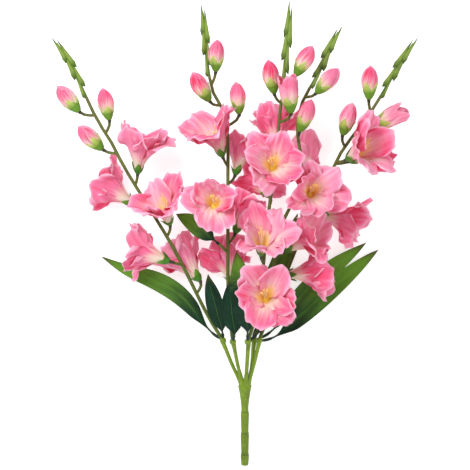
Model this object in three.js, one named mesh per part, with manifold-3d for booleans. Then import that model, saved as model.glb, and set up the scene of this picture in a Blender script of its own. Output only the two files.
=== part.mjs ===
// An artificial gladiolus bush, lying on a table.
// One plastic moulding is the grip, and it forks into five arms. Each arm ends in a
// swollen node that holds a spray stem and leaves. Each spray stem carries blooms,
// then buds, then a green tip of closed bracts.
// X runs across the bush, Y from the cut end of the grip to the tips, and Z up.
// All sizes are in millimetres.

import * as THREE from 'three';
import { mergeVertices } from 'three/addons/utils/BufferGeometryUtils.js';
import Module from 'manifold-3d';

// The grip and its arms.
const gripDiameter = 10;
const gripLength = 88;
const ringPitch = 31;
const ringWidth = 2.4;
const ringProud = 0.6;
const collarDiameter = 19;
const collarLength = 34;
const armLength = 57;
const armDiameter = 4.2;

// The sprays.
const stemDiameter = 4;
const stemEndDiameter = 3.2;
const stalkDiameter = 2.8;
const stalkLead = 12;
const stalkStraight = 7;
const tipDiameter = 13;
const tipBracts = 4;

// The flowers.
const bloomLength = 60;
const bloomMouth = 64;
const bloomLobe = 0.08;
const calyxDiameter = 11;
const bloomGap = 6;
const budLength = 46;
const budDiameter = 19;

// The leaves.
const leafWidth = 30;
const leafThickness = 1.4;
const leafDish = 0.16;
const petioleDiameter = 3.2;

// The gap that is left where one piece plugs into or rests on another.
const clearance = 0.3;

// A node is wide enough for a stem and a petiole side by side, with this much between.
const nodeWall = 1.8;
const nodeDiameter = stemDiameter + petioleDiameter + nodeWall;

// The head's overall size, for blooms at the standard pitch. It grows with the blooms,
// so that they stay clear of each other.
const headWidth = 510;
const headLength = 480;
const headDepth = 178;

// The places below are drawn on a bush of this size, with Y counted from the cut end.
const drawn = { width: 510, length: 480, depth: 178, nodeLine: 179, pitch: 70, mouth: 64 };

const bloomPitch = bloomMouth + bloomGap;
const growth = bloomPitch / drawn.pitch;
const nodeLine = gripLength + collarLength + armLength;
// The lowest blooms lie on the table, so heights up to the top of a mouth go with the
// mouth, and the rest of the depth is above them.
const raised = (z) => {
  if (z < drawn.mouth) {
    return (z * bloomMouth) / drawn.mouth;
  }
  const above = (z - drawn.mouth) / (drawn.depth - drawn.mouth);
  return THREE.MathUtils.lerp(bloomMouth, headDepth * growth, above);
};
const place = ([x, y, z]) => new THREE.Vector3(
  (x * growth * headWidth) / drawn.width,
  nodeLine + ((y - drawn.nodeLine) * growth * headLength) / drawn.length,
  raised(z),
);

// Each spray has the node of its arm, the route of its stem, the route of its tip, and
// its buds and blooms. A bud or bloom has the place of its base, the way it faces and a
// size beside the standard one. One that rests on the table takes its height from that.
const sprays = [
  {
    name: 'left',
    node: [-31, 179, 44],
    stem: [[-50, 210, 48], [-63, 235, 53], [-81, 272, 60], [-104, 316, 66], [-148, 388, 68],
      [-171, 426, 70], [-188, 459, 71], [-207, 489, 72], [-223, 522, 73]],
    tip: [[-233, 545, 74], [-248, 574, 76], [-269, 606, 75]],
    buds: [
      { base: [-232, 501, 74], faces: [-0.66, 0.75, 0.05] },
      { base: [-199, 448, 72], faces: [-0.73, 0.66, 0.12] },
      { base: [-190, 489, 78], faces: [-0.2, 0.96, 0.14], size: 0.95 },
    ],
    blooms: [
      { base: [-63, 263, 0], faces: [-0.55, 0.75, -0.36], rests: true },
      { base: [-105, 291, 72], faces: [-0.9, 0.3, -0.28] },
      { base: [-105, 342, 80], faces: [-0.25, 0.75, 0.6] },
      { base: [-157, 371, 0], faces: [-0.78, 0.58, -0.22], rests: true },
      { base: [-151, 414, 62], faces: [0.1, 0.93, 0.33], size: 1.05 },
    ],
  },
  {
    name: 'centre_left',
    node: [-17, 178, 58],
    stem: [[-21, 210, 63], [-24, 260, 71], [-24, 300, 75], [-24, 360, 79], [-24, 416, 80],
      [-24, 452, 80], [-28, 497, 81], [-43, 524, 83], [-50, 550, 84]],
    tip: [[-53, 575, 85], [-56, 612, 88], [-59, 650, 90]],
    buds: [
      { base: [-41, 556, 92], faces: [0.05, 0.98, 0.15], size: 0.95 },
      { base: [-49, 515, 90], faces: [-0.5, 0.8, 0.2] },
      { base: [-8, 497, 82], faces: [-0.08, 0.97, 0.15], size: 0.95 },
    ],
    blooms: [
      { base: [-18, 260, 0], faces: [-0.15, 0.82, -0.53], rests: true },
      { base: [-14, 330, 66], faces: [0.3, 0.9, -0.3], size: 0.9 },
      { base: [-42, 368, 98], faces: [-0.1, 0.15, 0.98] },
      { base: [-14, 412, 66], faces: [0.25, 0.94, -0.24], size: 0.9 },
      { base: [-31, 437, 96], faces: [-0.3, 0.85, 0.43], size: 1.05 },
    ],
  },
  {
    name: 'centre',
    node: [4, 178, 62],
    stem: [[14, 210, 72], [22, 250, 80], [27, 300, 86], [32, 350, 90], [38, 400, 92],
      [45, 450, 92], [49, 503, 92], [55, 536, 94]],
    tip: [[56, 565, 95], [60, 610, 98], [64, 654, 98]],
    buds: [
      { base: [41, 525, 97], faces: [-0.18, 0.97, 0.12] },
      { base: [70, 550, 98], faces: [0.5, 0.86, 0.1] },
      { base: [64, 497, 108], faces: [-0.1, 0.96, 0.22], size: 1.1 },
    ],
    blooms: [
      { base: [29, 238, 90], faces: [0.03, 0.13, 0.99], size: 1.1 },
      { base: [22, 300, 100], faces: [0.08, 0.65, 0.75] },
      { base: [36, 382, 0], faces: [-0.3, 0.55, -0.78], size: 0.95, rests: true },
      { base: [38, 421, 112], faces: [0.02, 0.12, 0.99], size: 1.05 },
      { base: [46, 446, 71], faces: [-0.15, 0.94, -0.32], size: 0.95 },
    ],
  },
  {
    name: 'centre_right',
    node: [12, 180, 34],
    stem: [[28, 215, 42], [38, 255, 50], [42, 290, 56], [46, 330, 60], [62, 365, 72],
      [78, 400, 80], [78, 440, 80], [73, 480, 79], [79, 511, 80], [91, 535, 82]],
    tip: [[103, 556, 84], [117, 588, 87], [134, 621, 88]],
    buds: [
      { base: [99, 526, 92], faces: [0.66, 0.72, 0.2] },
      { base: [76, 472, 96], faces: [0.34, 0.92, 0.18] },
    ],
    blooms: [
      { base: [55, 271, 53], faces: [0.93, 0.13, 0.03] },
      { base: [55, 305, 70], faces: [0.8, 0.56, 0.3], size: 1.05 },
      { base: [88, 384, 98], faces: [0.2, 0.12, 0.97], size: 1.05 },
      { base: [92, 405, 0], faces: [-0.25, 0.72, -0.65], rests: true },
    ],
  },
  {
    name: 'right',
    node: [20, 179, 48],
    stem: [[29, 204, 46], [44, 240, 42], [62, 282, 35], [75, 315, 33], [90, 346, 33],
      [97, 361, 35], [116, 402, 42], [134, 442, 52], [155, 472, 60], [172, 494, 64],
      [190, 522, 68]],
    tip: [[204, 547, 70], [222, 577, 73], [241, 606, 74]],
    buds: [
      { base: [174, 518, 72], faces: [0.05, 0.99, 0.1] },
      { base: [178, 480, 66], faces: [0.88, 0.45, 0.12], size: 1.1 },
      { base: [137, 468, 72], faces: [0.28, 0.93, 0.22] },
    ],
    blooms: [
      { base: [106, 358, 0], faces: [0.88, -0.2, 0.1], rests: true },
      { base: [142, 434, 68], faces: [0.65, 0.42, 0.63], size: 1.05 },
      { base: [146, 432, 0], faces: [0.8, 0.35, -0.35], size: 0.95, rests: true },
    ],
  },
];

// Each leaf plugs into a node, or onto a short stalk of a stem. up is the way its upper
// face looks, and width is its greatest width beside the standard one.
const leaves = [
  { spray: 'left', route: [[-49, 187, 36], [-65, 214, 38], [-89, 242, 39], [-127, 265, 30],
    [-168, 279, 16], [-206, 298, 6]], up: [0.1, -0.45, 0.9] },
  { spray: 'left', route: [[-33, 198, 60], [-41, 228, 73], [-48, 254, 78], [-52, 274, 78]],
    up: [-0.3, 0, 0.95], width: 0.9 },
  { spray: 'centre_left', route: [[-14, 190, 73], [-19, 220, 81], [-20, 248, 84], [-19, 268, 84]],
    up: [-0.1, 0, 1], width: 0.95 },
  { spray: 'centre_left', onStem: true, route: [[-36, 315, 80], [-50, 327, 80], [-72, 345, 77],
    [-97, 358, 72]], up: [0, -0.2, 1], width: 0.9 },
  { spray: 'centre_left', onStem: true, route: [[-36, 350, 74], [-48, 366, 68], [-60, 384, 64],
    [-68, 398, 62]], up: [0, 0.2, 1], width: 0.6 },
  { spray: 'centre', route: [[4, 192, 80], [0, 228, 98], [-6, 268, 106], [-12, 306, 107]],
    up: [0, -0.2, 1], width: 1.25 },
  { spray: 'centre', route: [[20, 190, 59], [34, 215, 64], [48, 250, 72], [60, 284, 82]],
    up: [0.2, -0.1, 1], width: 0.8 },
  { spray: 'centre_right', route: [[16, 196, 21], [34, 240, 12], [51, 290, 8], [66, 330, 7],
    [76, 360, 6]], up: [0, 0, 1] },
  { spray: 'right', route: [[38, 190, 43], [58, 213, 37], [84, 246, 26], [116, 276, 17],
    [150, 300, 12], [174, 318, 9]], up: [0.1, -0.3, 1], width: 1.05 },
  { spray: 'right', route: [[33, 176, 36], [54, 190, 23], [88, 222, 10], [130, 258, 5],
    [166, 287, 3], [192, 308, 2.5]], up: [0, -0.2, 1], width: 1.05 },
];

const colours = {
  grip: { color: 0x7f9f38, roughness: 0.45, metalness: 0 },
  stem: { color: 0x5f7434, roughness: 0.5, metalness: 0 },
  tip: { color: 0x7c9a3c, roughness: 0.5, metalness: 0 },
  petal: { color: 0xf58fb2, roughness: 0.85, metalness: 0 },
  leaf: { color: 0x3f7a35, roughness: 0.7, metalness: 0 },
};

const wasm = await Module();
wasm.setup();

const bush = new THREE.Group();
bush.name = 'artificial_gladiolus_bush';

const addPiece = (name, geometry, colour) => {
  const piece = new THREE.Mesh(geometry, new THREE.MeshStandardMaterial(colour));
  piece.name = name;
  bush.add(piece);
  return piece;
};

// Geometry with shared corners, which is what a solid needs.
const welded = (geometry) => {
  const plain = geometry.clone();
  plain.deleteAttribute('normal');
  plain.deleteAttribute('uv');
  const shared = mergeVertices(plain, 1e-4);
  const corners = shared.index.array;
  const kept = [];
  for (let i = 0; i < corners.length; i += 3) {
    const [a, b, c] = [corners[i], corners[i + 1], corners[i + 2]];
    if (a !== b && b !== c && a !== c) {
      kept.push(a, b, c);
    }
  }
  shared.setIndex(kept);
  return shared;
};

const toSolid = (geometry) => {
  const shared = welded(geometry);
  return new wasm.Manifold(new wasm.Mesh({
    numProp: 3,
    vertProperties: new Float32Array(shared.attributes.position.array),
    triVerts: new Uint32Array(shared.index.array),
  }));
};

const joined = (geometries) => {
  const solid = geometries.map(toSolid).reduce((sum, next) => sum.add(next));
  const mesh = solid.getMesh();
  const geometry = new THREE.BufferGeometry();
  geometry.setAttribute('position', new THREE.BufferAttribute(mesh.vertProperties, 3));
  geometry.setIndex(new THREE.BufferAttribute(mesh.triVerts, 1));
  geometry.computeVertexNormals();
  return geometry;
};

// A closed turned body on Y: each row of the profile is a radius and a height.
const turned = (profile, sides) => new THREE.LatheGeometry(
  profile.map(([radius, height]) => new THREE.Vector2(radius, height)),
  sides,
);

// Bends a body that stands on Y, from height 0 to 1, along a curve. Its X stays level
// with the curve and its Z turns towards up.
const bentAlong = (geometry, curve, up) => {
  const bent = geometry.clone();
  const spot = bent.attributes.position;
  for (let i = 0; i < spot.count; i += 1) {
    const along = THREE.MathUtils.clamp(spot.getY(i), 0, 1);
    const tangent = curve.getTangentAt(along);
    const lift = up.clone().addScaledVector(tangent, -up.dot(tangent)).normalize();
    const side = new THREE.Vector3().crossVectors(tangent, lift);
    const point = curve.getPointAt(along)
      .addScaledVector(side, spot.getX(i))
      .addScaledVector(lift, spot.getZ(i));
    spot.setXYZ(i, point.x, point.y, point.z);
  }
  bent.computeVertexNormals();
  return bent;
};

const level = new THREE.Vector3(0, 0, 1);

const rod = (curve, startRadius, endRadius, steps, sides) => {
  const profile = [[0, 0]];
  for (let i = 0; i <= steps; i += 1) {
    profile.push([THREE.MathUtils.lerp(startRadius, endRadius, i / steps), i / steps]);
  }
  profile.push([0, 1]);
  return bentAlong(turned(profile, sides), curve, level);
};

// Turns a body that stands on Y so that it faces a given way from a given point.
const facing = (geometry, base, direction) => {
  const turn = new THREE.Quaternion().setFromUnitVectors(new THREE.Vector3(0, 1, 0), direction);
  const turnedBody = geometry.clone();
  turnedBody.applyQuaternion(turn);
  turnedBody.translate(base.x, base.y, base.z);
  return turnedBody;
};

// The grip: a rod with moulding rings that widens into the collar.
const endRadius = gripDiameter / 2;
const gripEnd = new THREE.Vector3(0, 0, endRadius);
const nodes = Object.fromEntries(sprays.map((spray) => [spray.name, place(spray.node)]));
const nodeMiddle = Object.values(nodes)
  .reduce((sum, node) => sum.add(node), new THREE.Vector3())
  .divideScalar(sprays.length);
const gripDirection = nodeMiddle.clone().sub(gripEnd).setX(0).normalize();
// The cut end stands on its lower edge.
gripEnd.z = endRadius * gripDirection.y;

const makeGrip = () => {
  const profile = [[0, 0], [endRadius, 0]];
  for (let ring = ringPitch / 2; ring < gripLength - ringWidth; ring += ringPitch) {
    profile.push(
      [endRadius, ring - ringWidth],
      [endRadius + ringProud, ring - ringWidth / 2],
      [endRadius + ringProud, ring + ringWidth / 2],
      [endRadius, ring + ringWidth],
    );
  }
  profile.push(
    [endRadius, gripLength],
    [THREE.MathUtils.lerp(endRadius, collarDiameter / 2, 0.45), gripLength + collarLength * 0.5],
    [collarDiameter / 2, gripLength + collarLength - 4],
    [collarDiameter / 2 - 3, gripLength + collarLength],
    [0, gripLength + collarLength],
  );
  return facing(turned(profile, 12), gripEnd, gripDirection);
};

const makeArm = (node) => {
  const root = gripEnd.clone().addScaledVector(gripDirection, gripLength + collarLength - 8);
  const collarTop = gripEnd.clone().addScaledVector(gripDirection, gripLength + collarLength);
  const spread = node.clone().sub(collarTop).setY(0).setLength(collarDiameter / 2 - armDiameter);
  collarTop.add(spread);
  const middle = collarTop.clone().lerp(node, 0.45).addScaledVector(spread, 0.25);
  const curve = new THREE.CatmullRomCurve3([root, collarTop, middle, node]);
  return rod(curve, armDiameter / 2, armDiameter / 2, 6, 6);
};

const makeNode = (node) => {
  const knob = new THREE.SphereGeometry(nodeDiameter / 2, 8, 6);
  knob.translate(node.x, node.y, node.z);
  return knob;
};

const gripPieces = [makeGrip()];
for (const node of Object.values(nodes)) {
  gripPieces.push(makeArm(node), makeNode(node));
}
addPiece('grip', joined(gripPieces), colours.grip);

// A bloom: a funnel of six lobes on a round calyx, with a dished mouth.
const makeBloom = (size) => {
  const length = bloomLength * size;
  const radius = (bloomMouth * size) / 2;
  const neck = (calyxDiameter * size) / 2;
  const profile = [
    [0, 0],
    [neck * 0.55, 0],
    [neck, length * 0.08],
    [neck * 0.95, length * 0.2],
    [radius * 0.4, length * 0.45],
    [radius * 0.76, length * 0.75],
    [radius, length * 0.97],
    [radius * 0.97, length],
    [radius * 0.66, length * 0.86],
    [radius * 0.3, length * 0.64],
    [0, length * 0.55],
  ];
  const funnel = turned(profile, 12);
  const spot = funnel.attributes.position;
  for (let i = 0; i < spot.count; i += 1) {
    const turn = Math.atan2(spot.getZ(i), spot.getX(i));
    const share = spot.getY(i) / length;
    const lobe = 1 + bloomLobe * share * share * Math.cos(6 * turn);
    spot.setXYZ(i, spot.getX(i) * lobe, spot.getY(i), spot.getZ(i) * lobe);
  }
  return funnel;
};

// A bud: a calyx cup and the closed petals above it.
const makeBud = (size) => {
  const length = budLength * size;
  const radius = (budDiameter * size) / 2;
  return turned([
    [0, 0],
    [radius * 0.25, 0],
    [radius * 0.62, length * 0.1],
    [radius * 0.78, length * 0.25],
    [radius, length * 0.48],
    [radius * 0.86, length * 0.72],
    [radius * 0.42, length * 0.93],
    [0, length],
  ], 8);
};

// A tip: a row of closed bracts that gets thinner towards its two fine points.
const makeTip = (start, spray) => {
  const curve = new THREE.CatmullRomCurve3([start, ...spray.tip.map(place)]);
  const profile = [[0, 0], [stemEndDiameter / 2, 0]];
  const bractShare = 1 / (tipBracts + 1);
  for (let bract = 0; bract < tipBracts; bract += 1) {
    const radius = (tipDiameter / 2) * (1 - 0.13 * bract);
    profile.push(
      [radius, (bract + 0.45) * bractShare],
      [radius * 0.55, (bract + 1) * bractShare],
    );
  }
  profile.push([0, 1]);
  return bentAlong(turned(profile, 8), curve, level);
};

// The route of a stem or a leaf, starting just outside the node it plugs into.
const routeFrom = (node, points) => {
  const route = points.map(place);
  const away = route[0].clone().sub(node).normalize();
  const start = node.clone().addScaledVector(away, nodeDiameter / 2 + clearance);
  return new THREE.CatmullRomCurve3([start, ...route]);
};

// The stalk that a stem grows to reach the base of a bloom, a bud or a leaf.
const makeStalk = (stemCurve, base, direction) => {
  const samples = 120;
  let nearest = 0;
  for (let i = 1; i <= samples; i += 1) {
    const gap = stemCurve.getPointAt(i / samples).distanceTo(base);
    if (gap < stemCurve.getPointAt(nearest).distanceTo(base)) {
      nearest = i / samples;
    }
  }
  const from = Math.max(nearest - stalkLead / stemCurve.getLength(), 0.01);
  const end = base.clone().addScaledVector(direction, -clearance);
  const turn = end.clone().addScaledVector(direction, -stalkStraight);
  const curve = new THREE.QuadraticBezierCurve3(stemCurve.getPointAt(from), turn, end);
  return rod(curve, stalkDiameter / 2, stalkDiameter / 2, 3, 6);
};

const lowest = (geometry) => {
  geometry.computeBoundingBox();
  return geometry.boundingBox.min.z;
};

// A flower stands on its base point. One that rests comes down until it touches Z 0.
const placeFlower = (flower, shape) => {
  const direction = new THREE.Vector3(...flower.faces).normalize();
  const base = place(flower.base);
  if (flower.rests) {
    base.z = -lowest(facing(shape, new THREE.Vector3(), direction));
  }
  return { base, direction, geometry: facing(shape, base, direction) };
};

const leafHalfWidth = (along, width) => {
  const blade = THREE.MathUtils.clamp((along - 0.12) / 0.88, 0, 1);
  const outline = Math.sin(Math.PI * blade ** 0.8) ** 0.75;
  return Math.max(petioleDiameter / 2, (width / 2) * outline);
};

// A leaf: a round petiole that flattens into a dished blade with a point.
const makeLeaf = (leaf, curve) => {
  const steps = 12;
  const profile = [[0, 0]];
  for (let i = 0; i < steps; i += 1) {
    profile.push([1, i / steps]);
  }
  profile.push([0, 1]);
  const blade = turned(profile, 4);
  const spot = blade.attributes.position;
  const width = leafWidth * (leaf.width ?? 1);
  for (let i = 0; i < spot.count; i += 1) {
    const along = spot.getY(i);
    const half = leafHalfWidth(along, width);
    const flat = THREE.MathUtils.clamp(along / 0.2, 0, 1);
    const thick = THREE.MathUtils.lerp(petioleDiameter, leafThickness, flat) / 2;
    const x = spot.getX(i) * half;
    spot.setXYZ(i, x, along, spot.getZ(i) * thick + leafDish * Math.abs(x) * flat);
  }
  return bentAlong(blade, curve, new THREE.Vector3(...leaf.up).normalize());
};

for (const spray of sprays) {
  const stemCurve = routeFrom(nodes[spray.name], spray.stem);
  const stemPieces = [rod(stemCurve, stemDiameter / 2, stemEndDiameter / 2, 16, 6)];
  const flowers = [
    ['bloom', spray.blooms, makeBloom, colours.petal],
    ['bud', spray.buds, makeBud, colours.petal],
  ];
  for (const [kind, rows, makeShape, colour] of flowers) {
    rows.forEach((row, number) => {
      const { base, direction, geometry } = placeFlower(row, makeShape(row.size ?? 1));
      stemPieces.push(makeStalk(stemCurve, base, direction));
      addPiece(`${kind}_${spray.name}_${number + 1}`, geometry, colour);
    });
  }

  leaves.filter((leaf) => leaf.spray === spray.name).forEach((leaf, number) => {
    let curve = routeFrom(nodes[spray.name], leaf.route);
    if (leaf.onStem) {
      curve = new THREE.CatmullRomCurve3(leaf.route.map(place));
      stemPieces.push(makeStalk(stemCurve, curve.getPoint(0), curve.getTangent(0)));
    }
    addPiece(`leaf_${spray.name}_${number + 1}`, makeLeaf(leaf, curve), colours.leaf);
  });

  const stemTop = stemCurve.getPoint(1).addScaledVector(stemCurve.getTangent(1), clearance);
  addPiece(`tip_${spray.name}`, makeTip(stemTop, spray), colours.tip);
  addPiece(`spray_stem_${spray.name}`, joined(stemPieces), colours.stem);
}

// The origin is under the middle of the bush, on the surface it lies on.
const box = new THREE.Box3().setFromObject(bush);
const middle = box.getCenter(new THREE.Vector3());
for (const piece of bush.children) {
  piece.geometry.translate(-middle.x, -middle.y, -box.min.z);
}

export default bush;
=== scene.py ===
"""Finishes an artificial gladiolus bush that lies on a table.

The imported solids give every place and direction. Each operator below makes one piece or
one group of like pieces: the grip, the stems, the tips, the leaves, the blooms and the
buds, and the stage that they are seen on.
"""

import math
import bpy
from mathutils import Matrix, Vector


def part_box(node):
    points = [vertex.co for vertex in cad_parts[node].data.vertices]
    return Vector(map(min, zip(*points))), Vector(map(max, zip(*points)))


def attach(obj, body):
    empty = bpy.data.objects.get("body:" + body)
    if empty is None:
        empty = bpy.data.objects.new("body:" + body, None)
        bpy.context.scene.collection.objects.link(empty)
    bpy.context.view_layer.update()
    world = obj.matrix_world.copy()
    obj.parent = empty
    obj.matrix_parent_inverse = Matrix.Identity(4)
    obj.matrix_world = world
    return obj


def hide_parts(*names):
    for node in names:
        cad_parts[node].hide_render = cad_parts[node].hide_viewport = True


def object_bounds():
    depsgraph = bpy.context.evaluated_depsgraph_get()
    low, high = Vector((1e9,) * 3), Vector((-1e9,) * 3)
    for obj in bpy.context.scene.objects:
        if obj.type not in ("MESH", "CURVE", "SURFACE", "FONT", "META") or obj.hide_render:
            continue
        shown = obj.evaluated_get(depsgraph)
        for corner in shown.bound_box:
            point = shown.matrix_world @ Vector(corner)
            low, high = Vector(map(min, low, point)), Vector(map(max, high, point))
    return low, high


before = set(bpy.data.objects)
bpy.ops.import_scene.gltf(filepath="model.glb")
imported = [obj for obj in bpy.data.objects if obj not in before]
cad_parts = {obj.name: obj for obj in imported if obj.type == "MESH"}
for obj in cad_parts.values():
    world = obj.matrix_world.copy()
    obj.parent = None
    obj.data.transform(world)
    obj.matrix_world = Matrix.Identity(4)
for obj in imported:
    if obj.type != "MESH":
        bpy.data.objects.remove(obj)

import zlib

import bpy
import numpy as np
from bpy.props import FloatProperty, FloatVectorProperty, IntProperty, PointerProperty
from mathutils import Vector
from mathutils.bvhtree import BVHTree

bl_info = {
    "name": "Artificial gladiolus bush",
    "version": (1, 0, 0),
    "blender": (4, 5, 0),
    "location": "3D View > Sidebar > Bush",
    "description": "Makes the petals, leaves, stems and grip of an artificial gladiolus bush",
    "category": "Add Mesh",
}

CAD_BOX = [list(corner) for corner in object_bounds()]
MM = 0.001
FLOOR_GAP = 0.5 * MM
TOUCH_GAP = 0.08 * MM
JOIN_GAP = 0.01 * MM
SPRAYS = ("left", "centre_left", "centre", "centre_right", "right")


def colour_property(name, description, default):
    return FloatVectorProperty(
        name=name, description=description, default=default, subtype="COLOR", min=0, max=1
    )


def length_property(name, description, default):
    return FloatProperty(name=name, description=description, default=default, min=0, unit="LENGTH")


class BushSizes(bpy.types.PropertyGroup):
    """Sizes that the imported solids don't give."""

    fabric: length_property("Fabric", "Thickness of the petal fabric", 0.35 * MM)
    ruffle: length_property("Ruffle", "Height of the waves at a petal's edge", 4.0 * MM)
    crease: length_property("Crease", "Height of the creases along a petal", 0.65 * MM)
    sepal: length_property("Sepal", "Thickness of a moulded sepal", 0.7 * MM)
    sleeve: length_property("Sleeve", "Radius of the socket under a flower", 2.1 * MM)
    filament: length_property("Filament", "Radius of a stamen", 0.55 * MM)
    rib: length_property("Rib", "Radius of a leaf's rib at its base", 1.5 * MM)
    skin: length_property("Skin", "Grain of the moulded skin over the stems", 0.6 * MM)
    ring_pitch: length_property("Ring pitch", "Distance between the grip's ring joints", 31 * MM)
    ring_lip: length_property("Ring lip", "How far a ring joint stands out", 0.8 * MM)
    petal_rows: IntProperty(
        name="Petal rows", description="Rows of faces along a petal", default=24, min=8
    )
    petal_columns: IntProperty(
        name="Petal columns", description="Columns of faces across a petal", default=20, min=6
    )
    petal_reach: FloatProperty(
        name="Petal width", description="How wide the petals are, beside the bloom's own radius",
        default=1.05, min=0.5, max=1.5, subtype="FACTOR",
    )


class BushColours(bpy.types.PropertyGroup):
    """Colours of the bush's finishes."""

    petal: colour_property("Petal", "Main colour of the petals", (0.80, 0.18, 0.36))
    # The fold colour is also the painted shade in the valleys of the petal folds.
    petal_deep: colour_property("Petal folds", "Petals in their creases", (0.74, 0.016, 0.065))
    petal_pale: colour_property("Petal hem", "Petals at their hem", (0.88, 0.55, 0.68))
    petal_white: colour_property("Petal root", "Petals near the calyx", (0.88, 0.86, 0.78))
    throat: colour_property("Throat", "The middle of a bloom", (1.0, 0.74, 0.20))
    throat_deep: colour_property("Deep throat", "The bottom of a bloom", (0.88, 0.62, 0.08))
    calyx: colour_property("Calyx", "Sepals and cups", (0.12, 0.28, 0.02))
    calyx_pale: colour_property("Calyx tips", "Points of the sepals", (0.50, 0.56, 0.14))
    socket: colour_property("Socket", "Sockets under the flowers", (0.035, 0.04, 0.015))
    bract: colour_property("Bract", "Bracts of the tips", (0.08, 0.15, 0.013))
    bract_pale: colour_property("Bract edge", "Edges of the bracts", (0.18, 0.27, 0.035))
    cup: colour_property("Cup", "Cups under the open blooms", (0.05, 0.21, 0.012))
    stem: colour_property("Stem", "Stems near the grip", (0.095, 0.135, 0.02))
    stem_brown: colour_property("Upper stem", "Stems near the tips", (0.115, 0.118, 0.026))
    grip: colour_property("Grip", "The moulded grip", (0.135, 0.215, 0.014))
    leaf: colour_property("Leaf", "Leaves where they are lightest", (0.105, 0.25, 0.016))
    leaf_dark: colour_property("Dark leaf", "Leaves near their stalk", (0.002, 0.018, 0.008))
    rib: colour_property("Rib", "Midribs and petioles", (0.007, 0.048, 0.022))
    floor: colour_property("Floor", "The surface it lies on", (0.66, 0.66, 0.66))


def settings_of(context):
    return context.scene.bush_colours, context.scene.bush_sizes


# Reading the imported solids


class Solid:
    """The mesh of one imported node, with equal corners joined."""

    def __init__(self, name):
        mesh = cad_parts[name].data
        points = np.array([v.co for v in mesh.vertices], float)
        mesh.calc_loop_triangles()
        triangles = np.array([t.vertices for t in mesh.loop_triangles], int)
        _, first, joined = np.unique(
            np.round(points / JOIN_GAP).astype(int), axis=0, return_index=True, return_inverse=True
        )
        self.points = points[first]
        self.triangles = joined.reshape(-1)[triangles]
        self.tree = BVHTree.FromPolygons(self.points.tolist(), self.triangles.tolist())

    def middle(self):
        """The middle of its surface."""
        a, b, c = (self.points[self.triangles[:, i]] for i in range(3))
        areas = np.linalg.norm(np.cross(b - a, c - a), axis=1)[:, None]
        return ((a + b + c) / 3 * areas).sum(0) / areas.sum()

    def slice(self, point, direction):
        """Where its edges cross a plane."""
        ends = np.concatenate([self.triangles[:, (i, (i + 1) % 3)] for i in range(3)])
        start, stop = self.points[ends[:, 0]], self.points[ends[:, 1]]
        below, above = (start - point) @ direction, (stop - point) @ direction
        crossing = below * above < 0
        share = (below / np.where(crossing, below - above, 1))[crossing][:, None]
        return start[crossing] + (stop - start)[crossing] * share


def nodes_of(kind, spray=None):
    """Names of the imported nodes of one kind, in order."""
    return sorted(
        name
        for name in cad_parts
        if name.startswith(kind + "_") and (spray is None or spray_of(name) == spray)
    )


def spray_of(name):
    parts = [part for part in name.split("_") if not part.isdigit()]
    return "_".join(parts[1:])


def unit(vector):
    return vector / np.linalg.norm(vector)


def touching_point(solid, holder):
    """The middle of the holder's corners that lie nearest to a solid."""
    gaps = np.array([solid.tree.find_nearest(corner)[3] for corner in holder.points])
    return holder.points[gaps < gaps.min() + TOUCH_GAP].mean(0)


def followed(solid, start, back, step=2 * MM, count=5, reach=3.2 * MM):
    """The middle line of a rod, from a start at its end and back along it in steps."""
    line = [start]
    for _ in range(count):
        ahead = line[-1] + back * step
        section = solid.slice(ahead, back)
        near = section[np.linalg.norm(section - ahead, axis=1) < reach]
        middle = (near.min(0) + near.max(0)) / 2 if len(near) > 3 else ahead
        back = unit(middle - line[-1])
        line.append(line[-1] + back * step)
    return np.array(line)


class Seat:
    """Where a flower sits, which way it faces, and how long and wide it is."""

    def __init__(self, name, stem):
        solid = Solid(name)
        self.base = touching_point(solid, stem)
        self.axis = unit(solid.middle() - self.base)
        self.stalk = followed(stem, self.base, -self.axis)
        heights = (solid.points - self.base) @ self.axis
        outwards = solid.points - self.base - heights[:, None] * self.axis
        reach = np.linalg.norm(outwards, axis=1)
        self.length = heights.max()
        self.radius = reach.max()
        lobes = outwards[reach > 0.98 * self.radius]
        upwards = np.array((0, 1, 0) if abs(self.axis[1]) < 0.85 else (0, 0, 1), float)
        self.side = unit(lobes[np.argmax(lobes @ upwards)])
        self.across = np.cross(self.axis, self.side)

    def place(self, x, y, z):
        """Points at x along the side, y across it and z along the axis."""
        return (
            self.base
            + x[..., None] * self.side
            + y[..., None] * self.across
            + z[..., None] * self.axis
        )

    def around(self, radius, turn, height):
        """Points at a radius and an angle around the axis, and at a height along it."""
        return self.place(radius * np.cos(turn), radius * np.sin(turn), height + 0 * turn)


def spine(solid, base, stations):
    """Sections of a long solid from its base to its far end, with the two end points."""
    far = solid.points[np.argmax(np.linalg.norm(solid.points - base, axis=1))]
    chord = far - base
    sections = [
        solid.slice(base + chord * share, unit(chord))
        for share in np.linspace(0.02, 0.97, stations)
    ]
    return [section for section in sections if len(section) > 2], far


def reach_of(section):
    """How far a section reaches from its own middle."""
    return np.linalg.norm(section - section.mean(0), axis=1).max()


def shares(rows, columns):
    """Even shares along a sheet, from 0 to 1, and across it, from -1 to 1."""
    return np.linspace(0, 1, rows)[:, None], np.linspace(-1, 1, columns)[None, :]


def normals(grid):
    """Unit vectors that stand on a grid of points."""
    normal = np.cross(np.gradient(grid, axis=1), np.gradient(grid, axis=0))
    return normal / np.maximum(np.linalg.norm(normal, axis=2, keepdims=True), 1e-12)


def turned(x, y, angle):
    """Two measures at right angles, turned by an angle."""
    return x * np.cos(angle) - y * np.sin(angle), x * np.sin(angle) + y * np.cos(angle)


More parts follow.
